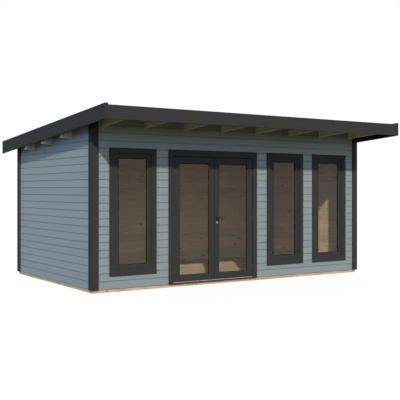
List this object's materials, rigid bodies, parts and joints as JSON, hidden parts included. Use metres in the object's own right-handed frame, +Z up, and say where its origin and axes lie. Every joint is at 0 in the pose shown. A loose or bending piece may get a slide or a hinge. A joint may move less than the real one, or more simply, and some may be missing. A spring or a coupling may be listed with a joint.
{
  "type": "garden house",
  "caption": "Plank garden house with a low lean-to roof and deep front eave, glazed double doors that open outward and tall fixed windows in dark casings",
  "frame": {"origin": "on the ground, under the middle of the roof's outline", "axes": "+X along the front from left to right, +Y from the front to the back, +Z up"},
  "size_m": [5.644, 4.171, 2.6563],
  "materials": {
    "natural_wood": "sawn and planed spruce",
    "wall_paint": "grey-blue wood paint",
    "trim_paint": "anthracite wood paint",
    "glass": "clear",
    "roofing": "matte mineral felt",
    "steel": "satin",
    "aluminium": "brushed",
    "handle_metal": "satin black"
  },
  "bodies": {
    "house": {"front_bearer": "natural_wood", "back_bearer": "natural_wood", "side_bearers": "natural_wood", "floor_joists": "natural_wood", "floor": "natural_wood", "front_wall_left": "wall_paint", "front_wall_right": "wall_paint", "front_wall_over_door": "wall_paint", "left_wall": "wall_paint", "right_wall": "wall_paint", "back_wall": "wall_paint", "front_corner_trims": "trim_paint", "back_corner_trims": "trim_paint", "window_1_casing": "trim_paint", "window_1_sash": "trim_paint", "window_1_glass": "glass", "window_2_casing": "trim_paint", "window_2_sash": "trim_paint", "window_2_glass": "glass", "window_3_casing": "trim_paint", "window_3_sash": "trim_paint", "window_3_glass": "glass", "door_casing": "trim_paint", "door_frame": "trim_paint", "door_sill": "trim_paint", "door_sill_strip": "aluminium", "frame_hinges": "handle_metal", "rafters": "natural_wood", "purlins": "natural_wood", "eave_blocking": "wall_paint", "side_blocking": "wall_paint", "roof_deck": "natural_wood", "roof_covering": "roofing", "front_fascia": "trim_paint", "back_fascia": "trim_paint", "verge_boards": "trim_paint", "roof_edge_strips": "trim_paint"},
    "left_leaf": {"left_door_leaf": "trim_paint", "left_door_glass": "glass", "left_door_hinges": "handle_metal"},
    "right_leaf": {"right_door_leaf": "trim_paint", "right_door_glass": "glass", "right_door_hinges": "handle_metal", "door_handles": "handle_metal", "door_locks": "steel"}
  },
  "joints": [
    {"name": "left_door_hinge", "type": "hinge", "parent": "house", "child": "left_leaf", "pos_m": [-1.255, -1.273, 1], "axis": [0, 0, -1], "range_deg": [0, 160]},
    {"name": "right_door_hinge", "type": "hinge", "parent": "house", "child": "right_leaf", "pos_m": [0.253, -1.273, 1], "axis": [0, 0, 1], "range_deg": [0, 160]}
  ]
}
